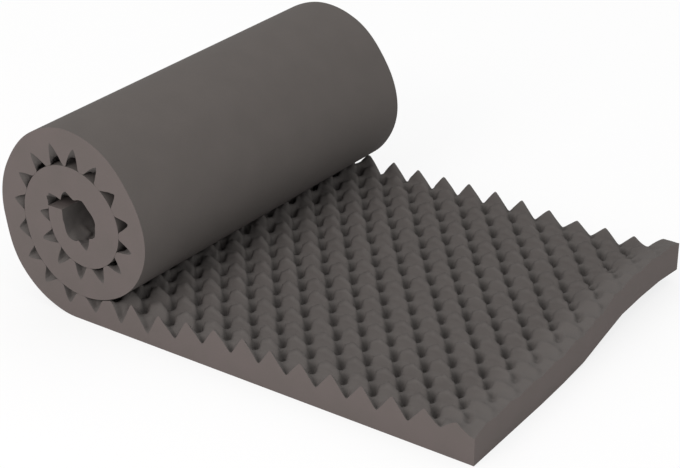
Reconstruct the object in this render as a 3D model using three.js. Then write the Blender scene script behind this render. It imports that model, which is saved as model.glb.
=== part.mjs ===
// Convoluted (egg-crate) foam mattress pad, partly unrolled. It is one slab of foam: the back is
// smooth, the face is waves of crests and pits, and the far half of it is wound into a roll with
// the crests turned inwards. Millimetres. +X runs along the pad towards its free end, +Y across
// it, +Z up from the floor.
import * as THREE from "three";

// The slab as it is cut
const WAVE = 50; // one wave, crest to crest, along the pad
const HALF_ROW = 30.5; // half a wave across the pad
const ROWS = 20; // half waves across
const WIDTH = ROWS * HALF_ROW;
const CREST = 60; // thickness at a crest, the pad's full thickness
const RUN = 677.5; // from the crest nearest the roll's foot to the free end
const TAIL = -26.5 * WAVE; // where the slab ends inside the roll, measured along it
const FIBRE = 16; // height of the layer that neither stretches nor shortens in a bend

// How it lies
const FOOT = -9.7; // where the pad leaves the floor, at the near edge
const LEAN = 27; // how much further along it leaves the floor at the far edge
const LOOSE = 0.02; // how much larger the roll is at the far edge
const GAP = 1.2; // air left between one turn and the next
const BESIDE = 20; // crests stay pressed this far beyond the end inside the roll
const BEND = 0.74; // a crest reaches this share of the bend's own radius at most
const CLOSE = 2.5 * WAVE; // from here into the roll the face has a column every quarter wave

// Thickness left at a crest and under a pit along the slab: the bend opens the pits where it is
// gentle and closes them up round the roll's core
const WAVES = [
  { along: -1330, crest: 27, pit: 26 }, { along: -1290, crest: 28, pit: 26 },
  { along: -1250, crest: 40, pit: 28 }, { along: -1215, crest: 45, pit: 30 },
  { along: -1180, crest: 45, pit: 41 }, { along: -1100, crest: 44, pit: 42 },
  { along: -1050, crest: 50, pit: 42 }, { along: -1000, crest: 54, pit: 36 },
  { along: -925, crest: 58, pit: 30 }, { along: -875, crest: CREST, pit: 25 },
  { along: -100, crest: CREST, pit: 24 }, { along: 25, crest: CREST, pit: 20 },
  { along: 125, crest: CREST, pit: 23 }, { along: 200, crest: CREST, pit: 32 },
  { along: 700, crest: CREST, pit: 32 },
];
const DEEPER = 12; // how much deeper the open part's pits are away from the cut edges

// The plain rim at the free end: pits fill up towards it
const RIM = { even: 46, odd: 52, pit: 40, corner: 42.5, cornerPit: 41 };
const LIFT_START = 11.8 * WAVE;
const LIFT = [
  { across: 0, rise: 0 },
  { across: 0.4, rise: 0 },
  { across: 0.6, rise: 14 },
  { across: 0.8, rise: 25 },
  { across: 1, rise: 18 },
];

// The roll's back, wound by hand: its distance from the roll's axis at each angle turned
const AXIS_HEIGHT = 157.3;
const WIND = [
  { turn: 0, radius: 157.3 }, { turn: 20, radius: 153.5 }, { turn: 45, radius: 145 },
  { turn: 80, radius: 131.5 }, { turn: 120, radius: 134 }, { turn: 155, radius: 144 },
  { turn: 182, radius: 149 }, { turn: 205, radius: 147 }, { turn: 238, radius: 139.5 },
  { turn: 270, radius: 141 }, { turn: 300, radius: 135.5 }, { turn: 332, radius: 124 },
  { turn: 365, radius: 112.5 }, { turn: 400, radius: 99.5 }, { turn: 435, radius: 89 },
  { turn: 475, radius: 87 }, { turn: 520, radius: 89.5 }, { turn: 570, radius: 92 },
  { turn: 615, radius: 93.5 }, { turn: 650, radius: 88 }, { turn: 685, radius: 76 },
  { turn: 720, radius: 60 }, { turn: 755, radius: 46 }, { turn: 795, radius: 39.3 },
  { turn: 820, radius: 40.3 }, { turn: 840, radius: 45.8 }, { turn: 860, radius: 61 },
];

/** Smooth curve through a table's rows, level at both ends and at each crest and dip. */
function through(table, key, value, at) {
  let i = 0;
  while (i < table.length - 2 && at > table[i + 1][key]) i += 1;
  const steep = (n) => (table[n][value] - table[n - 1][value]) / (table[n][key] - table[n - 1][key]);
  const slope = (n) => {
    if (n === 0 || n === table.length - 1) return 0;
    const [a, b] = [steep(n), steep(n + 1)];
    return a * b > 0 ? (2 * a * b) / (a + b) : 0;
  };
  const span = table[i + 1][key] - table[i][key];
  const t = Math.min(Math.max((at - table[i][key]) / span, 0), 1);
  const [t2, t3] = [t * t, t * t * t];
  return table[i][value] * (2 * t3 - 3 * t2 + 1) + slope(i) * span * (t3 - 2 * t2 + t)
    + table[i + 1][value] * (3 * t2 - 2 * t3) + slope(i + 1) * span * (t3 - t2);
}

/** The back of the pad seen from its edge: along the floor, then round the roll. */
class Wound {
  constructor(step = 1) {
    this.marks = [];
    const last = WIND[WIND.length - 1].turn;
    for (let turn = 0; turn <= last; turn += step) {
      const radius = through(WIND, "turn", "radius", turn);
      const a = THREE.MathUtils.degToRad(turn);
      this.marks.push({ x: -radius * Math.sin(a), z: AXIS_HEIGHT - radius * Math.cos(a) });
    }
    this.marks.forEach((mark, i) => {
      const before = this.marks[Math.max(i - 1, 0)];
      const after = this.marks[Math.min(i + 1, this.marks.length - 1)];
      const length = Math.hypot(after.x - before.x, after.z - before.z);
      mark.nx = i === 0 ? 0 : (after.z - before.z) / length;
      mark.nz = i === 0 ? 1 : (before.x - after.x) / length;
    });
    this.marks[0].s = 0;
    for (let i = 1; i < this.marks.length; i += 1) {
      const [a, b] = [this.marks[i - 1], this.marks[i]];
      const dx = b.x + b.nx * FIBRE - a.x - a.nx * FIBRE;
      const dz = b.z + b.nz * FIBRE - a.z - a.nz * FIBRE;
      b.s = a.s + Math.hypot(dx, dz);
    }
  }

  /** Point and inward normal of the back, s along the pad from where it leaves the floor. */
  at(s) {
    if (s <= 0) return { x: -s, z: 0, nx: 0, nz: 1 };
    let i = this.marks.findIndex((mark) => mark.s > s);
    if (i < 1) i = this.marks.length - 1;
    const [a, b] = [this.marks[i - 1], this.marks[i]];
    const t = (s - a.s) / (b.s - a.s);
    const mix = (k) => a[k] + (b[k] - a[k]) * t;
    const length = Math.hypot(mix("nx"), mix("nz"));
    return { x: mix("x"), z: mix("z"), nx: mix("nx") / length, nz: mix("nz") / length };
  }

  /** Radius of the bend at s. */
  bend(s) {
    const [a, b] = [this.at(s - 12), this.at(s + 12)];
    const turned = Math.abs(Math.asin(a.nx * b.nz - a.nz * b.nx));
    return turned < 1e-6 ? Infinity : Math.hypot(b.x - a.x, b.z - a.z) / turned;
  }

  /** Height at which a line square to the back at s meets a later turn that ends at tail. */
  room(s, tail) {
    const p = this.at(s);
    const turns = this.marks.filter((mark) => mark.s > s + 3 * WAVE && mark.s < tail);
    const line = [...turns, this.at(tail)];
    let free = Infinity;
    for (let i = 1; i < line.length; i += 1) {
      const [a, b] = [line[i - 1], line[i]];
      const [ex, ez] = [b.x - a.x, b.z - a.z];
      const cross = p.nx * ez - p.nz * ex;
      if (Math.abs(cross) > 1e-9) {
        const along = ((a.x - p.x) * ez - (a.z - p.z) * ex) / cross;
        const share = ((a.x - p.x) * p.nz - (a.z - p.z) * p.nx) / cross;
        if (along > 0 && share >= 0 && share <= 1) free = Math.min(free, along);
      }
    }
    return free;
  }
}

const wound = new Wound();

/** What stands at column c (mm along the slab) and half row j. */
function feature(c, j) {
  if (c >= RUN) return "rim";
  const halves = Math.round((c / WAVE) * 4) / 2;
  if (!Number.isInteger(halves)) return "flank";
  return (halves + j) % 2 === 0 ? "crest" : "pit";
}

/** Thickness of the slab there, before anything presses on it. */
function thickness(c, j) {
  const what = feature(c, j);
  if (what === "rim") return j === 0 ? RIM.corner : (j % 2 ? RIM.odd : RIM.even);
  if (what === "pit" && c >= RUN - WAVE) return RIM.pit;
  if (what === "pit" && j === 0 && c >= RUN - 1.5 * WAVE) return RIM.cornerPit;
  const inside = j > 0 && j < ROWS && c >= 4 * WAVE;
  const crest = through(WAVES, "along", "crest", c);
  const pit = through(WAVES, "along", "pit", c) - (inside ? DEEPER : 0);
  return { crest, pit, flank: (crest + pit) / 2 }[what];
}

/** Place of the point over column c, share v across the pad, at the given thickness. */
function place(c, v, thick, pressed = false) {
  const foot = FOOT + LEAN * v;
  const wide = 1 + LOOSE * v;
  const s = (foot - c) / wide;
  const room = wound.room(s, (foot - TAIL + BESIDE) / wide) * wide - GAP;
  const p = wound.at(s);
  const full = pressed && room < CREST ? room : thick;
  const h = Math.min(full, room, BEND * wound.bend(s) * wide);
  const near = THREE.MathUtils.smoothstep(c, LIFT_START, RUN);
  const rise = near * through(LIFT, "across", "rise", v);
  return [foot + p.x * wide + p.nx * h - rise * 0.15, v * WIDTH, p.z * wide + p.nz * h + rise];
}

/** The columns from the free end to the end inside the roll. */
function columns() {
  const list = [RUN];
  for (let c = 13 * WAVE; c > CLOSE; c -= WAVE / 2) list.push(c);
  for (let c = CLOSE; c > TAIL - 1; c -= WAVE / 4) list.push(c);
  return list;
}

function buildPad() {
  const points = [];
  const faces = [];
  const add = (c, v, thick, pressed) => points.push(...place(c, v, thick, pressed)) / 3 - 1;
  const quad = (a, b, c, d) => faces.push(a, b, c, a, c, d);
  const cols = columns();
  const backRows = [0, 4, 8, 12, 16, 20];
  const corner = (c, j) => add(c, j / ROWS, thickness(c, j), feature(c, j) !== "pit");
  const face = cols.map((c) => Array.from({ length: ROWS + 1 }, (_, j) => corner(c, j)));
  const back = cols.map((c) => backRows.map((j) => add(c, j / ROWS, 0)));

  for (let i = 1; i < cols.length; i += 1) {
    for (let j = 0; j < ROWS; j += 1) {
      const ring = [face[i][j], face[i - 1][j], face[i - 1][j + 1], face[i][j + 1]];
      if (cols[i - 1] > CLOSE) {
        const c = (cols[i] + cols[i - 1]) / 2;
        const heart = add(c, (j + 0.5) / ROWS, thickness(CLOSE - WAVE / 4, j));
        ring.forEach((from, k) => faces.push(from, ring[(k + 1) % 4], heart));
      } else {
        const crestFirst = [[i, j], [i - 1, j + 1]].some(([m, n]) => feature(cols[m], n) === "crest");
        if (crestFirst) quad(...ring);
        else quad(ring[1], ring[2], ring[3], ring[0]);
      }
    }
    for (let k = 1; k < backRows.length; k += 1) {
      quad(back[i - 1][k - 1], back[i][k - 1], back[i][k], back[i - 1][k]);
    }
    quad(back[i][0], back[i - 1][0], face[i - 1][0], face[i][0]);
    quad(back[i - 1].at(-1), back[i].at(-1), face[i].at(-1), face[i - 1].at(-1));
  }

  const closeEnd = (top, bottom, turn) => {
    const tri = (a, b, c) => (turn ? faces.push(a, b, c) : faces.push(a, c, b));
    for (let k = 1; k < backRows.length; k += 1) {
      const [from, to] = [backRows[k - 1], backRows[k]];
      const half = (from + to) / 2;
      for (let j = from; j < to; j += 1) tri(bottom[j < half ? k - 1 : k], top[j + 1], top[j]);
      tri(bottom[k - 1], bottom[k], top[half]);
    }
  };
  closeEnd(face[0], back[0], true);
  closeEnd(face.at(-1), back.at(-1), false);

  const geometry = new THREE.BufferGeometry();
  geometry.setAttribute("position", new THREE.Float32BufferAttribute(points, 3));
  geometry.setIndex(faces);
  geometry.computeBoundingBox();
  const box = geometry.boundingBox;
  geometry.translate(-(box.min.x + box.max.x) / 2, -WIDTH / 2, -box.min.z);
  geometry.computeVertexNormals();
  return geometry;
}

const foam = new THREE.MeshStandardMaterial({ color: 0x5b5552, roughness: 0.95, metalness: 0 });
foam.name = "foam";
const pad = new THREE.Mesh(buildPad(), foam);
pad.name = "foam_pad";

const group = new THREE.Group();
group.name = "foam_mattress";
group.add(pad);
export default group;
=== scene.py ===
"""Looks of a convoluted (egg-crate) foam mattress pad that lies half unrolled on a floor.

The pad is made as the real one is: a flat slab is cut to size, its face is cut in waves of
crests and pits, and then it is wound up from one end with the crests turned inwards. Sizes are
in millimetres along the flat slab and are turned to metres once, when the slab is laid down.
"""

import logging
import math
from dataclasses import dataclass, field
from enum import Enum
import bmesh
import bpy
import numpy as np
from mathutils import Matrix, Vector


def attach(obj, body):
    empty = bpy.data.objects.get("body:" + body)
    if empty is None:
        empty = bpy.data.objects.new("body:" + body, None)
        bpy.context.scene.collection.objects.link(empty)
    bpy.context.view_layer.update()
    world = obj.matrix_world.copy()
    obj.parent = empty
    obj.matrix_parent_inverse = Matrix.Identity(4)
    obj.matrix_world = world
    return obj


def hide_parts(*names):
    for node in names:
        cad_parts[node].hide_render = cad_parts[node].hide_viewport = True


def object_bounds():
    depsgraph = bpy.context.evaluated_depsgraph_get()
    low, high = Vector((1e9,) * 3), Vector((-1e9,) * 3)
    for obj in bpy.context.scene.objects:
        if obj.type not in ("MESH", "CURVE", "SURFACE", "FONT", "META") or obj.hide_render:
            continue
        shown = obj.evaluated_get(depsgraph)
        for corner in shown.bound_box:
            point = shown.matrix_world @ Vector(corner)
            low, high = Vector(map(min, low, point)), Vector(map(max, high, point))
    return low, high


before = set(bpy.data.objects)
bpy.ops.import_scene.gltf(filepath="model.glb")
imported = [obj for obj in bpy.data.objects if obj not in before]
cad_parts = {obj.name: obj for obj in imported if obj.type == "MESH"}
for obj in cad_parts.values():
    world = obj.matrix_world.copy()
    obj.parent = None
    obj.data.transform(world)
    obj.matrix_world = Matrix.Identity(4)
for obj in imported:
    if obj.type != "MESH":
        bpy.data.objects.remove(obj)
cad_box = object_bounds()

log = logging.getLogger("foam_pad")
MM = 0.001
SAME = 0.01  # places closer than this, in mm, are the same
TINY = 1e-9  # stands in for 0 as a divisor


class Surface(Enum):
    """The three surfaces of the slab, each with its own finish. The value is its slot."""

    FACE = 0
    BACK = 1
    CUT = 2


class Patch(Enum):
    """Where each side of the slab lies in its UV map: left, low, width and height."""

    FACE = (0.01, 0.4, 0.98, 0.58)
    BACK = (0.01, 0.12, 0.98, 0.26)
    NEAR_EDGE = (0.01, 0.085, 0.98, 0.025)
    FAR_EDGE = (0.01, 0.05, 0.98, 0.025)
    WOUND_END = (0.01, 0.015, 0.392, 0.025)
    FREE_END = (0.5, 0.015, 0.392, 0.025)


@dataclass(frozen=True)
class Curve:
    """A smooth curve through a table's rows, level at both ends and at each crest and dip.

    Attributes:
        rows: what the curve is worth at each place, in rising order of place.
    """

    rows: dict[float, float]

    def __call__(self, place: np.ndarray) -> np.ndarray:
        """Reads the curve.

        Args:
            place: where to read it; past either end the curve stays level.

        Returns:
            The curve's value at each place.
        """
        x = np.array(list(self.rows), float)
        y = np.array(list(self.rows.values()), float)
        steep = np.diff(y) / np.diff(x)
        before, after = steep[:-1], steep[1:]
        slope = np.zeros(len(x))
        runs_on = before * after > 0
        total = np.where(runs_on, before + after, 1)
        slope[1:-1] = np.where(runs_on, 2 * before * after / total, 0)
        i = np.clip(np.searchsorted(x, place, side="right") - 1, 0, len(x) - 2)
        span = x[i + 1] - x[i]
        t = np.clip((place - x[i]) / span, 0, 1)
        ease = t * t * (3 - 2 * t)
        return (
            y[i] * (1 - ease)
            + y[i + 1] * ease
            + slope[i] * span * t * (1 - t) ** 2
            - slope[i + 1] * span * t * t * (1 - t)
        )


def smoothstep(value: np.ndarray, start: float, end: float) -> np.ndarray:
    """Rises from 0 at start to 1 at end, level at both."""
    t = np.clip((value - start) / (end - start), 0, 1)
    return t * t * (3 - 2 * t)


@dataclass(frozen=True)
class Zone:
    """A stretch of the slab in which something comes in smoothly and goes out again.

    Attributes:
        rise: where it starts to come in, and where it is all there.
        fall: where it starts to go, and where it is gone.
    """

    rise: tuple[float, float]
    fall: tuple[float, float]

    def __call__(self, place: np.ndarray) -> np.ndarray:
        """How much of it there is at each place, from 0 to 1."""
        return smoothstep(place, *self.rise) * (1 - smoothstep(place, *self.fall))


@dataclass(frozen=True)
class Swelling:
    """A small place at the near edge where the slab is thicker.

    Attributes:
        height: how much thicker it is at most.
        along: where that is.
        reach: how far it spreads along the slab.
        depth: how far it spreads in from the edge.
    """

    height: float
    along: float
    reach: float
    depth: float

    def __call__(self, along: np.ndarray, across: np.ndarray) -> np.ndarray:
        """How much thicker the slab is at each point."""
        away = ((along - self.along) / self.reach) ** 2 + (across / self.depth) ** 2
        return self.height * np.exp(-away)


@dataclass(frozen=True)
class Ripple:
    """Smooth, seeded unevenness over the flat slab.

    Attributes:
        seed: chooses one pattern.
        coarse: width of its largest swells, in mm.
        fine: width of its smallest ones, in mm.
        waves: how many waves it adds up.
    """

    seed: int
    coarse: float = 320.0
    fine: float = 70.0
    waves: int = 14

    def __call__(self, along: np.ndarray, across: np.ndarray) -> np.ndarray:
        """Reads the pattern.

        Args:
            along: place of each point along the slab.
            across: its place across the slab.

        Returns:
            The height at each point, mostly from -1 to 1.
        """
        draw = np.random.default_rng(self.seed)
        total = np.zeros(np.broadcast(along, across).shape)
        for _ in range(self.waves):
            size = self.fine * (self.coarse / self.fine) ** draw.random()
            heading, start = draw.random(2) * math.tau
            x, y = math.cos(heading) / size, math.sin(heading) / size
            total += np.sin(math.tau * (along * x + across * y) + start)
        return total / math.sqrt(self.waves)


@dataclass(frozen=True)
class Mound:
    """One of a lattice of like mounds, each in the middle of four of the other kind.

    Attributes:
        along: how far it reaches along the pad, in mm.
        across: how far it reaches across the pad, in mm.
        brow: how flat-topped and steep-sided it is along the pad, from 1 up.
        side: the same across the pad.
        lozenge: how much longer it is along one diagonal, or 0 for sides square to the pad.
    """

    along: float
    across: float
    brow: float
    side: float
    lozenge: float = 0.0

    def __call__(
        self, x: np.ndarray, y: np.ndarray, step_x: float, step_y: float, odd: int
    ) -> np.ndarray:
        """Height of the mounds, 1 at their tops.

        Args:
            x: place of each point along the slab.
            y: its place across the slab.
            step_x: distance from a mound to the other kind along the pad.
            step_y: the same across the pad.
            odd: 0 for mounds that stand on the first place, 1 for the other kind.

        Returns:
            The height at each point.
        """
        total = np.zeros(x.shape)
        for i in (-1, 0, 1):
            for j in (-1, 0, 1):
                column, row = np.round(x / step_x) + i, np.round(y / step_y) + j
                u = (x - column * step_x) / self.along
                v = (y - row * step_y) / self.across
                if self.lozenge:
                    u, v = (u + v) * self.lozenge, (u - v) / self.lozenge
                away = np.abs(u) ** self.brow + np.abs(v) ** self.side
                total += np.where((column + row) % 2 == odd, np.exp(-away), 0)
        return total


@dataclass
class WoundBack:
    """The pad's back seen from its edge: along the floor, then round the roll.

    Attributes:
        axis_height: height of the roll's axis above the floor.
        fibre: height above the back of the layer that keeps its length in a bend.
        radius: distance of the back from the axis at each angle turned, in degrees.
        step: how far apart the back's marks are, in degrees.
    """

    axis_height: float = 157.3
    fibre: float = 16.0
    radius: Curve = Curve({
        0: 157.3, 20: 153.5, 45: 145, 80: 131.5, 120: 134, 155: 144, 182: 149, 205: 147,
        238: 139.5, 270: 141, 300: 135.5, 332: 124, 365: 112.5, 400: 99.5, 435: 89,
        475: 87, 520: 89.5, 570: 92, 615: 93.5, 650: 88, 685: 76, 720: 60, 755: 46,
        795: 39.3, 820: 40.3, 840: 45.8, 860: 61,
    })
    step: float = 1.0

    def __post_init__(self) -> None:
        """Sets out the marks: their places, their inward normals and the length up to each."""
        turn = np.arange(0, max(self.radius.rows) + self.step / 2, self.step)
        angle = np.radians(turn)
        radius = self.radius(turn)
        self.x = -radius * np.sin(angle)
        self.z = self.axis_height - radius * np.cos(angle)
        ahead, up = np.gradient(self.x), np.gradient(self.z)
        self.nx, self.nz = up / np.hypot(ahead, up), -ahead / np.hypot(ahead, up)
        self.nx[0], self.nz[0] = 0, 1
        layer = self.x + self.nx * self.fibre, self.z + self.nz * self.fibre
        length = np.cumsum(np.hypot(*(np.diff(part) for part in layer)))
        self.s = np.concatenate([[0], length])

    def at(self, s: np.ndarray) -> tuple[np.ndarray, ...]:
        """Finds the back at a length along it.

        Args:
            s: length from where the back leaves the floor; below 0 it lies on the floor.

        Returns:
            x and z of the back, and x and z of its inward normal.
        """
        x, z, nx, nz = (np.interp(s, self.s, part) for part in (self.x, self.z, self.nx, self.nz))
        x = np.where(s <= 0, -s, x)
        size = np.hypot(nx, nz)
        return x, z, nx / size, nz / size

    def bend(self, s: np.ndarray, reach: float = 12.0) -> np.ndarray:
        """Finds how gently the back bends.

        Args:
            s: lengths along the back.
            reach: how far the bend is taken over, either way.

        Returns:
            The bend's radius at each length.
        """
        x0, z0, nx0, nz0 = self.at(s - reach)
        x1, z1, nx1, nz1 = self.at(s + reach)
        turned = np.abs(np.arcsin(np.clip(nx0 * nz1 - nz0 * nx1, -1, 1)))
        return np.hypot(x1 - x0, z1 - z0) / np.maximum(turned, TINY)

    def room(self, s: np.ndarray, tail: float, skip: float) -> np.ndarray:
        """Height at which a line square to the back meets a later turn of it.

        Args:
            s: lengths at which the lines stand.
            tail: length at which the pad ends.
            skip: how much of the back just after each line can't be met.

        Returns:
            The height for each line, or infinity.
        """
        x, z, nx, nz = (part[:, None] for part in self.at(s))
        marks = np.append(self.s[self.s < tail], tail)
        line_x, line_z, _, _ = self.at(marks)
        ex, ez = np.diff(line_x), np.diff(line_z)
        from_x, from_z = line_x[:-1] - x, line_z[:-1] - z
        cross = nx * ez - nz * ex
        cross = np.where(np.abs(cross) < TINY, TINY, cross)
        up = (from_x * ez - from_z * ex) / cross
        share = (from_x * nz - from_z * nx) / cross
        met = (up > 0) & (share >= 0) & (share <= 1) & (marks[:-1] > s[:, None] + skip)
        return np.where(met, up, np.inf).min(1)


@dataclass
class EggCrate:
    """The face of the flat slab, cut in waves so that each crest stands between four pits.

    Attributes:
        wave: one wave, crest to crest, along the pad.
        half_row: half a wave across the pad.
        rows: half waves across.
        run: from the crest nearest the roll's foot to the free end.
        sharpness: how pointed crests and pits are at the cut edges, from 0, round, to 1.
        rim: width of the strip along a cut edge in which its teeth turn into fins and holes.
        fin: the form of a crest inside the edges.
        hole: the form of a pit there.
        shelf: height between crests and pits inside the edges, from 0, pits, to 1, crests.
        slant: how far the pits near the roll stand towards the free end.
        slanted: where they do.
        pull: how much further along the far crests near the roll stand.
        pulled: where they do.
        slip: how unevenly crests and pits stand along the pad, in mm.
        sway: how unevenly they stand across the pad, in mm.
        crest: thickness at a crest, by place along the slab.
        far_crest: the same at the far edge, where the crests were pressed in the pack.
        far_strip: where the far edge's strip starts and is all there, as shares of the width.
        far_pressed: where along the slab its crests start to be pressed, and where all are.
        pit: thickness under a pit, by place along the slab.
        deeper: how much deeper the pits of the open part are inside the edges.
        deepened: where they are.
        filled: how much less deep the pits of the far strip are near the roll.
        filled_until: where that starts to fade, and where it ends.
        crest_swells: how uneven the crests' thickness is, in mm.
        pit_swells: how uneven the pits' thickness is, in mm.
        near_swell: how much thicker the slab is at its near edge, by place along it.
        swell_depth: how far that spreads in from the edge.
        last_notch: what fills up the near edge's last notch.
        corner_drop: how much thinner the free end's near corner is.
        corner: size of that corner along and across.
        touch: a crest starts to be pressed when it has less room than this above it.
        full_press: it is pressed as much as can be when it has so much less room again.
        spring: how much a pressed crest widens, as a share.
        knee: height over which a pressed crest rounds off to its flat top, as a share.
    """

    wave: float = 50.0
    half_row: float = 30.5
    rows: int = 20
    run: float = 677.5
    sharpness: float = 0.98
    rim: float = 10.0
    fin: Mound = Mound(along=18.7, across=4.8, brow=1.7, side=1.6)
    hole: Mound = Mound(along=9.3, across=12.4, brow=3.0, side=4.0, lozenge=1.5)
    shelf: float = 0.51
    slant: float = 3.0
    slanted: Zone = Zone(rise=(-50, 0), fall=(300, 450))
    pull: float = 5.0
    pulled: Zone = Zone(rise=(-50, 0), fall=(100, 420))
    slip: Ripple = Ripple(3)
    sway: Ripple = Ripple(4)
    crest: Curve = Curve({
        -1330: 27, -1290: 28, -1250: 40, -1200: 46, -1150: 43, -1100: 44, -1050: 50,
        -925: 58, -875: 60, 0: 60, 50: 57.5, 110: 60, 640: 60, 660: 56, 677: 53,
    })
    far_crest: Curve = Curve({400: 60, 450: 57, 500: 53, 600: 53, 650: 49.5, 677: 51})
    far_strip: tuple[float, float] = (0.7, 1.0)
    far_pressed: tuple[float, float] = (350.0, 450.0)
    pit: Curve = Curve({
        -1330: 26, -1290: 26, -1262: 28, -1215: 30, -1180: 41, -1050: 42, -1000: 36,
        -925: 30, -875: 25, -100: 24, 25: 20, 125: 22, 175: 27.5, 225: 28.5,
        300: 30.5, 400: 32, 600: 32, 625: 36, 650: 41, 677: 45.5,
    })
    deeper: float = 15.0
    deepened: Zone = Zone(rise=(80, 200), fall=(600, 650))
    filled: float = 4.5
    filled_until: tuple[float, float] = (250.0, 450.0)
    crest_swells: Ripple = Ripple(5)
    pit_swells: Ripple = Ripple(6)
    near_swell: Curve = Curve({
        0: 0, 100: -3.5, 150: -5.5, 200: 1.5, 250: 7.5, 300: 7, 350: 3, 430: 0,
    })
    swell_depth: float = 45.0
    last_notch: Swelling = Swelling(height=5, along=625, reach=14, depth=12)
    corner_drop: float = 3.5
    corner: tuple[float, float] = (22.0, 25.0)
    touch: float = 2.0
    full_press: float = 6.0
    spring: float = 0.45
    knee: float = 0.12

    @property
    def width(self) -> float:
        """Size of the pad across."""
        return self.rows * self.half_row

    def zigzag(self, turn: np.ndarray) -> np.ndarray:
        """A wave with straight flanks and rounded tips, from -1 to 1."""
        return np.arcsin(self.sharpness * np.cos(turn)) / math.asin(self.sharpness)

    def inside(self, across: np.ndarray) -> np.ndarray:
        """0 at the two cut edges and 1 away from them."""
        return smoothstep(np.minimum(across, self.width - across), 0, self.rim)

    def lattice(self, along: np.ndarray, across: np.ndarray) -> tuple[np.ndarray, np.ndarray]:
        """Finds where points of the uneven face lie in an even lattice.

        Args:
            along: place of each point along the slab.
            across: its place across the slab.

        Returns:
            Its places along and across the even lattice.
        """
        loose = 1 - smoothstep(along, self.run - 2 * self.wave, self.run)
        at_pits = 0.5 - 0.5 * np.cos(along * math.tau / self.wave)
        moved = self.slant * self.slanted(along) * at_pits
        moved = moved + self.pull * self.pulled(along) * (across / self.width) ** 2
        slip, sway = self.slip(along, across), self.sway(along, across)
        return along - moved + slip * loose, across + sway * loose

    def share(self, along: np.ndarray, across: np.ndarray) -> np.ndarray:
        """Finds how high the face stands between its pits and its crests.

        Args:
            along: place of each point along the slab.
            across: its place across the slab.

        Returns:
            The height, from 0 at the pits to 1 at the crests.
        """
        x, y = self.lattice(along, across)
        teeth = self.zigzag(x * math.tau / self.wave) * self.zigzag(y * math.pi / self.half_row)
        fins = self.fin(x, y, self.wave / 2, self.half_row, 0)
        holes = self.hole(x, y, self.wave / 2, self.half_row, 1)
        forms = self.shelf + (1 - self.shelf) * fins - self.shelf * holes
        inside = self.inside(across)
        return (0.5 + 0.5 * teeth) * (1 - inside) + forms * inside

    def levels(self, along: np.ndarray, across: np.ndarray) -> tuple[np.ndarray, np.ndarray]:
        """Finds how thick the slab would be at a crest and at a pit.

        Args:
            along: place of each point along the slab.
            across: its place across the slab.

        Returns:
            The thickness if a crest stood there, and if a pit did.
        """
        far = smoothstep(across / self.width, *self.far_strip)
        pressed = far * smoothstep(along, *self.far_pressed)
        crest = self.crest(along) * (1 - pressed) + self.far_crest(along) * pressed
        pit = self.pit(along) - self.deeper * self.inside(across) * self.deepened(along)
        pit = pit + self.filled * far * (1 - smoothstep(along, *self.filled_until))
        return crest + self.crest_swells(along, across), pit + self.pit_swells(along, across)

    def edge_change(self, along: np.ndarray, across: np.ndarray) -> np.ndarray:
        """Finds how much thicker the slab is near its near edge and corner.

        Args:
            along: place of each point along the slab.
            across: its place across the slab.

        Returns:
            The change in thickness, below 0 at the corner.
        """
        swell = self.near_swell(along) * np.exp(-((across / self.swell_depth) ** 2))
        length, width = self.corner
        drop = smoothstep(along, self.run - length, self.run) * (1 - smoothstep(across, 0, width))
        return swell + self.last_notch(along, across) - self.corner_drop * drop

    def thickness(self, along: np.ndarray, across: np.ndarray, room: np.ndarray) -> np.ndarray:
        """Finds the slab's thickness, with crests pressed flat where they have no room.

        Args:
            along: place of each point along the slab.
            across: its place across the slab.
            room: height free over it, before the next turn of the roll.

        Returns:
            The thickness at each point.
        """
        crest, pit = self.levels(along, across)
        share = self.share(along, across)
        press = np.clip((crest + self.touch - room) / self.full_press, 0, 1)
        wide = share * (1 + self.spring * press)
        over = np.clip((wide - 1 + self.knee) / (2 * self.knee), 0, 1)
        flat = np.where(over < 1, wide - self.knee * over**2, 1.0)
        share = np.where(press > 0, flat, share)
        top = np.minimum(crest, room)
        return pit + (top - pit) * share + self.edge_change(along, across)


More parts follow.
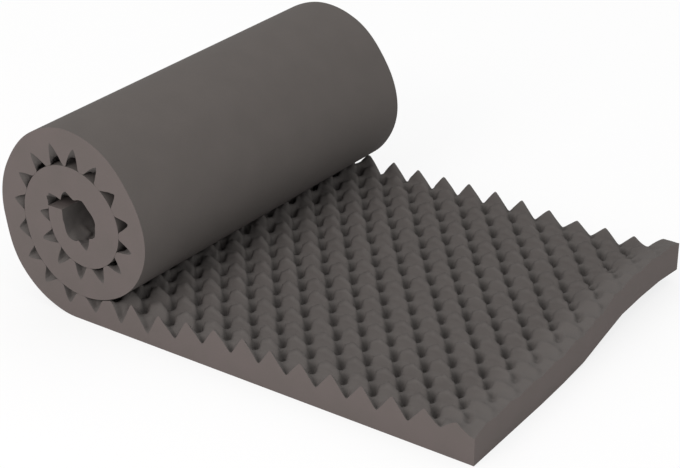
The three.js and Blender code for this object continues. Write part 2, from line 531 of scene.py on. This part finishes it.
@dataclass
class FoamPad:
    """The slab of foam, cut flat and then wound up from one end.

    Attributes:
        face: the waves of its face.
        tail: where the slab ends inside the roll, measured as the face's run is.
        back: the path in which the slab's back lies.
        foot: where the near edge leaves the floor.
        lean: how much further along the far edge leaves it.
        loose: how much larger the roll is at the far edge, as a share.
        gap: air left between one turn and the next.
        clear: how many waves past a point the turn over it can start at the soonest.
        beside: how far past the end inside the roll the crests stay pressed.
        bend_share: the share of a bend's radius that the foam may take up.
        lift_start: place from which the free end lifts off the floor.
        lift: how high it lifts, by share of the way across.
        draw_in: how far it is drawn back as it lifts, as a share of the lift.
        per_wave: columns of the mesh in a wave of the open part.
        per_wound_wave: columns in a wave of the roll.
        per_row: lines of the mesh in half a wave across.
        crease: an edge is sharp if the cosine between its faces is less than this.
    """

    face: EggCrate = field(default_factory=EggCrate)
    tail: float = -1325.0
    back: WoundBack = field(default_factory=WoundBack)
    foot: float = -9.7
    lean: float = 27.0
    loose: float = 0.02
    gap: float = 0.25
    clear: float = 3.0
    beside: float = 20.0
    bend_share: float = 0.74
    lift_start: float = 590.0
    lift: Curve = Curve({
        0: 0, 0.36: 0, 0.42: 2.5, 0.53: 6.5, 0.64: 20, 0.74: 26, 0.88: 25, 1: 18,
    })
    draw_in: float = 0.15
    per_wave: int = 18
    per_wound_wave: int = 12
    per_row: int = 8
    crease: float = 0.5

    def columns(self) -> np.ndarray:
        """Sets out the mesh's columns, closer together on the open part.

        Returns:
            Their places along the slab.
        """
        wave, run = self.face.wave, self.face.run
        wound = np.arange(self.tail, -wave - 1, wave / self.per_wound_wave)
        laid = np.arange(-wave, run - 1, wave / self.per_wave)
        return np.concatenate([wound[wound < -wave - 1], laid, [run]])

    def cut_slab(self) -> bmesh.types.BMesh:
        """Cuts the flat slab: its face and back are grids and its four edges join them.

        Returns:
            The slab, with its back at height 0 and its face at height 1.
        """
        slab = bmesh.new()
        columns = self.columns()
        last, rows, width = len(columns) - 1, self.face.rows, self.face.width
        for height, lines in ((1, rows * self.per_row), (0, rows // 2)):
            bmesh.ops.create_grid(
                slab,
                x_segments=last,
                y_segments=lines,
                size=0.5,
                matrix=Matrix.Translation((last / 2, width / 2, height))
                @ Matrix.Diagonal((last, width, 1, 1)),
            )
        for vert in slab.verts:
            vert.co.x = columns[round(vert.co.x)]
        for axis, limit in ((1, 0.0), (1, width), (0, self.tail), (0, self.face.run)):
            side = [
                e
                for e in slab.edges
                if e.is_boundary and all(abs(v.co[axis] - limit) < SAME for v in e.verts)
            ]
            flat = [e for e in side if abs(e.verts[0].co.z - e.verts[1].co.z) < SAME]
            bmesh.ops.bridge_loops(slab, edges=flat)
        bmesh.ops.recalc_face_normals(slab, faces=slab.faces)
        for part in slab.faces:
            heights = {round(v.co.z) for v in part.verts}
            kind = {(1,): Surface.FACE, (0,): Surface.BACK}.get(tuple(heights), Surface.CUT)
            part.material_index = kind.value
            part.smooth = True
        for edge in slab.edges:
            one, other = edge.link_faces
            edge.smooth = one.normal.dot(other.normal) > self.crease
        self.lay_out(slab)
        return slab

    def lay_out(self, slab: bmesh.types.BMesh) -> None:
        """Lays the flat slab's surfaces apart in a UV map: face, back, long edges and ends.

        Args:
            slab: the slab before it is wound.
        """
        uv = slab.loops.layers.uv.new("OFBake")
        length = self.face.run - self.tail
        for part in slab.faces:
            side, end = round(part.normal.y), round(part.normal.x)
            if part.material_index != Surface.CUT.value:
                patch = Patch[Surface(part.material_index).name]
            elif side:
                patch = Patch.NEAR_EDGE if side < 0 else Patch.FAR_EDGE
            else:
                patch = Patch.WOUND_END if end < 0 else Patch.FREE_END
            left, low, wide, tall = patch.value
            for loop in part.loops:
                x, y, z = loop.vert.co
                place = (x - self.tail) / length, y / self.face.width, z
                u = place[1] if end else place[0]
                v = place[2] if side or end else place[1]
                loop[uv].uv = left + wide * u, low + tall * v

    def wind(self, slab: bmesh.types.BMesh) -> None:
        """Lays the flat slab down: its open part on the floor and the rest wound up.

        Args:
            slab: the flat slab, whose points are moved.
        """
        flat = np.array([vert.co for vert in slab.verts], float)
        along, across, top = flat[:, 0], flat[:, 1], flat[:, 2] > 0.5
        v = across / self.face.width
        foot, wide = self.foot + self.lean * v, 1 + self.loose * v
        s = (foot - along) / wide
        height = np.zeros(len(flat))
        for row in np.unique(across[top].round(3)):
            here = top & (np.abs(across - row) < SAME)
            tail = (foot[here][0] - self.tail + self.beside) / wide[here][0]
            room = self.back.room(s[here], tail, self.clear * self.face.wave)
            room = room * wide[here] - self.gap
            thick = self.face.thickness(along[here], across[here], room)
            limit = self.bend_share * self.back.bend(s[here]) * wide[here]
            height[here] = np.minimum(thick, np.minimum(room, limit))
        x, z, nx, nz = self.back.at(s)
        rise = smoothstep(along, self.lift_start, self.face.run) * self.lift(v)
        x = foot + x * wide + nx * height - rise * self.draw_in
        z = z * wide + nz * height + rise
        x += cad_box[1].x / MM - self.face.run
        laid = np.stack([x, across - self.face.width / 2, z], 1) * MM
        for vert, place in zip(slab.verts, laid):
            vert.co = place

    def build(self) -> bpy.types.Object:
        """Makes the pad.

        Returns:
            Its object, wound up and in place.
        """
        slab = self.cut_slab()
        self.wind(slab)
        mesh = bpy.data.meshes.new("foam_pad_slab")
        slab.to_mesh(mesh)
        slab.free()
        pad = bpy.data.objects.new("foam_pad_slab", mesh)
        bpy.context.scene.collection.objects.link(pad)
        return pad


class Signal:
    """A node's output that takes part in arithmetic, each step of which adds a Math node."""

    def __init__(self, tree: "NodeTree", socket: bpy.types.NodeSocket) -> None:
        """Keeps the output and the tree that it belongs to."""
        self.tree = tree
        self.socket = socket

    def maths(self, operation: str, *values: object) -> "Signal":
        """Adds one Math node on these values and gives its result."""
        return self.tree.node("ShaderNodeMath", {"operation": operation}, *values)

    def __add__(self, other: object) -> "Signal":
        """Sum."""
        return self.maths("ADD", self, other)

    def __sub__(self, other: object) -> "Signal":
        """Difference."""
        return self.maths("SUBTRACT", self, other)

    def __rsub__(self, other: object) -> "Signal":
        """Difference, from a number."""
        return self.maths("SUBTRACT", other, self)

    def __mul__(self, other: object) -> "Signal":
        """Product."""
        return self.maths("MULTIPLY", self, other)

    __radd__ = __add__
    __rmul__ = __mul__


class NodeTree:
    """Adds nodes to one material or world."""

    def __init__(self, owner: bpy.types.Material | bpy.types.World) -> None:
        """Empties the owner's node tree.

        Args:
            owner: the material or world whose nodes these are.
        """
        owner.use_nodes = True
        self.tree = owner.node_tree
        self.tree.nodes.clear()

    def node(
        self,
        kind: str,
        settings: dict[str, object] | None = None,
        *values: object,
        out: str | int = 0,
        **named: object,
    ) -> Signal:
        """Adds a node.

        Args:
            kind: the node's type.
            settings: its own settings, set first.
            values: what goes into its first inputs, as values or signals.
            out: the output to give back.
            named: what goes into inputs by name, with _ for a space.

        Returns:
            The chosen output.
        """
        made = self.tree.nodes.new(kind)
        for name, value in (settings or {}).items():
            setattr(made, name, value)
        inputs = [(made.inputs[i], value) for i, value in enumerate(values)]
        inputs += [(made.inputs[name.replace("_", " ")], value) for name, value in named.items()]
        for socket, value in inputs:
            if isinstance(value, Signal):
                self.tree.links.new(value.socket, socket)
            else:
                socket.default_value = value
        return Signal(self, made.outputs[out] if made.outputs else None)

    def blend(self, share: Signal, one: object, other: object) -> Signal:
        """Mixes two colours.

        Args:
            share: how much of the other colour shows, from 0 to 1.
            one: the colour at 0.
            other: the colour at 1.

        Returns:
            The mixed colour.
        """
        settings = {"data_type": "RGBA"}
        return self.node("ShaderNodeMix", settings, share, A=one, B=other, out="Result")


@dataclass(frozen=True)
class FoamFinish:
    """Open-cell foam as one surface of the slab shows it.

    Attributes:
        name: the material's name.
        colour: its colour, linear.
        shade: the colour of its darker patches, linear.
        patch: width of the patches, in mm.
        cell: width of a cell, in mm.
        grain: depth of the cells, in mm.
        relief: how strongly that depth shows, from 0 to 1.
        rough: roughness of the darker patches.
        rougher: how much rougher the lighter ones are.
        gloss: the surface's specular level.
        fleck: how many flecks there are in the width of a cell.
        tones: how much patches, flecks and cells count in the colour.
        darker: how far the whole is moved towards the shade.
        depths: how much cells and flecks count in the relief.
    """

    name: str
    colour: tuple[float, float, float]
    shade: tuple[float, float, float]
    patch: float = 45.0
    cell: float = 1.3
    grain: float = 0.25
    relief: float = 0.5
    rough: float = 0.85
    rougher: float = 0.12
    gloss: float = 0.1
    fleck: float = 0.6
    tones: tuple[float, float, float] = (0.7, 0.3, 0.15)
    darker: float = 0.1
    depths: tuple[float, float] = (0.7, 0.6)

    def material(self) -> bpy.types.Material:
        """Makes the finish.

        Returns:
            Its material.
        """
        made = bpy.data.materials.new(self.name)
        tree = NodeTree(made)
        place = tree.node("ShaderNodeTexCoord", out="Object")
        patch, cell = self.patch * MM, self.cell * MM
        patches = tree.node("ShaderNodeTexNoise", None, place, Scale=1 / patch, Detail=3.0)
        cells = tree.node("ShaderNodeTexVoronoi", None, place, Scale=1 / cell)
        flecks = tree.node(
            "ShaderNodeTexNoise", None, place, Scale=self.fleck / cell, Detail=2.0
        )
        by_patch, by_fleck, by_cell = self.tones
        tone = patches * by_patch + flecks * by_fleck + cells * by_cell - self.darker
        depth = cells * self.depths[0] + flecks * self.depths[1]
        shader = tree.node(
            "ShaderNodeBsdfPrincipled",
            None,
            Base_Color=tree.blend(tone, (*self.shade, 1), (*self.colour, 1)),
            Roughness=self.rough + patches * self.rougher,
            Specular_IOR_Level=self.gloss,
            Normal=tree.node(
                "ShaderNodeBump",
                None,
                Height=depth,
                Strength=self.relief,
                Distance=self.grain * MM,
            ),
        )
        tree.node("ShaderNodeOutputMaterial", None, shader)
        return made


@dataclass
class Studio:
    """A plain white floor under soft light, and the camera.

    Attributes:
        azimuth: how far the camera stands round to the right, in degrees.
        elevation: how far it looks down, in degrees.
        lens: its focal length, in mm.
        sensor: the width of its sensor, in mm.
        stand: where it stands, in metres.
        horizon: brightness of the sky near the floor.
        zenith: its brightness overhead.
        key: brightness of a white sheet that faces the lamp, from the lamp alone.
        lamp_at: the way from the pad to the lamp.
        lamp_distance: how far away the lamp is, in metres.
        lamp_size: the lamp's diameter, in metres.
        lamp_colour: the lamp's colour.
        floor_half: half the floor's width, in metres.
        floor_tone: how light the floor is.
        floor_glow: how much of its own white it shows, so that the pad's shadow stays soft.
    """

    azimuth: float = 34.48
    elevation: float = 27.554
    lens: float = 100.65
    sensor: float = 36.0
    stand: Vector = Vector((1.4323, -2.1030, 1.4179))
    horizon: float = 0.95
    zenith: float = 1.1
    key: float = 0.38
    lamp_at: Vector = Vector((-0.07, -0.835, 0.545)).normalized()
    lamp_distance: float = 4.0
    lamp_size: float = 2.2
    lamp_colour: tuple[float, float, float] = (1, 0.93, 0.92)
    floor_half: float = 8.0
    floor_tone: float = 0.8
    floor_glow: float = 0.8

    def camera(self) -> None:
        """Sets up the camera."""
        made = bpy.data.objects.new("camera", bpy.data.cameras.new("camera"))
        made.data.lens, made.data.sensor_width = self.lens, self.sensor
        made.location = self.stand
        made.rotation_euler = (
            math.radians(90 - self.elevation), 0, math.radians(self.azimuth),
        )
        bpy.context.scene.collection.objects.link(made)
        bpy.context.scene.camera = made

    def seen_ray(self, tree: NodeTree) -> Signal:
        """Tells rays that show the background, or mirror it, from those that only light.

        Args:
            tree: the tree that asks.

        Returns:
            1 for rays that show it and 0 for the others.
        """
        rays = tree.tree.nodes.new("ShaderNodeLightPath").outputs
        seen = Signal(tree, rays["Is Camera Ray"]) + Signal(tree, rays["Is Glossy Ray"])
        return seen + Signal(tree, rays["Is Transmission Ray"])

    def floor(self) -> None:
        """Lays the floor."""
        sheet = bmesh.new()
        bmesh.ops.create_grid(sheet, x_segments=1, y_segments=1, size=self.floor_half)
        mesh = bpy.data.meshes.new("floor")
        sheet.to_mesh(mesh)
        sheet.free()
        floor = bpy.data.objects.new("floor", mesh)
        bpy.context.scene.collection.objects.link(floor)
        finish = bpy.data.materials.new("floor_white")
        tree = NodeTree(finish)
        matt = tree.node("ShaderNodeBsdfDiffuse", None, (*[self.floor_tone] * 3, 1))
        glow = tree.node("ShaderNodeEmission", None, (1, 1, 1, 1), 1.0)
        share = self.seen_ray(tree) * self.floor_glow
        mix = tree.node("ShaderNodeMixShader", None, share, matt, glow)
        tree.node("ShaderNodeOutputMaterial", None, mix)
        mesh.materials.append(finish)

    def light(self) -> None:
        """Lights the scene with an even sky and one large soft lamp."""
        world = bpy.data.worlds.new("studio")
        bpy.context.scene.world = world
        tree = NodeTree(world)
        heading = tree.node("ShaderNodeTexCoord", out="Generated")
        up = tree.node("ShaderNodeSeparateXYZ", None, heading, out="Z")
        height = tree.node("ShaderNodeMath", {"operation": "MAXIMUM"}, up, 0.0)
        strength = self.horizon + height * (self.zenith - self.horizon)
        lit = tree.node("ShaderNodeBackground", None, (1, 1, 1, 1), strength)
        seen = tree.node("ShaderNodeBackground", None, (1, 1, 1, 1), 1.0)
        mix = tree.node("ShaderNodeMixShader", None, self.seen_ray(tree), lit, seen)
        tree.node("ShaderNodeOutputWorld", None, mix)
        lamp = bpy.data.lights.new("key", "AREA")
        lamp.shape, lamp.size = "DISK", self.lamp_size
        lamp.color = self.lamp_colour
        lamp.energy = self.key * math.pi**2 * self.lamp_distance**2
        key = bpy.data.objects.new("key", lamp)
        key.visible_camera = False
        key.location = self.lamp_at * self.lamp_distance
        key.rotation_mode = "QUATERNION"
        key.rotation_quaternion = self.lamp_at.to_track_quat("Z", "Y")
        bpy.context.scene.collection.objects.link(key)
        bpy.context.scene.view_settings.view_transform = "Standard"


def main() -> None:
    """Builds the pad, dresses it and sets the scene."""
    logging.basicConfig(level=logging.INFO, format="%(name)s: %(message)s")
    pad = FoamPad().build()
    finishes = {
        Surface.FACE: FoamFinish("foam_waves", (0.109, 0.1, 0.095), (0.088, 0.081, 0.077)),
        Surface.BACK: FoamFinish("foam_back", (0.106, 0.095, 0.089), (0.085, 0.077, 0.072)),
        Surface.CUT: FoamFinish("foam_cut", (0.129, 0.107, 0.104), (0.103, 0.092, 0.085)),
    }
    for surface in Surface:
        pad.data.materials.append(finishes[surface].material())
    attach(pad, "root")
    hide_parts("foam_pad")
    log.info("%s has %d faces", pad.name, len(pad.data.polygons))
    studio = Studio()
    studio.camera()
    studio.floor()
    studio.light()


if __name__ == "__main__":
    main()
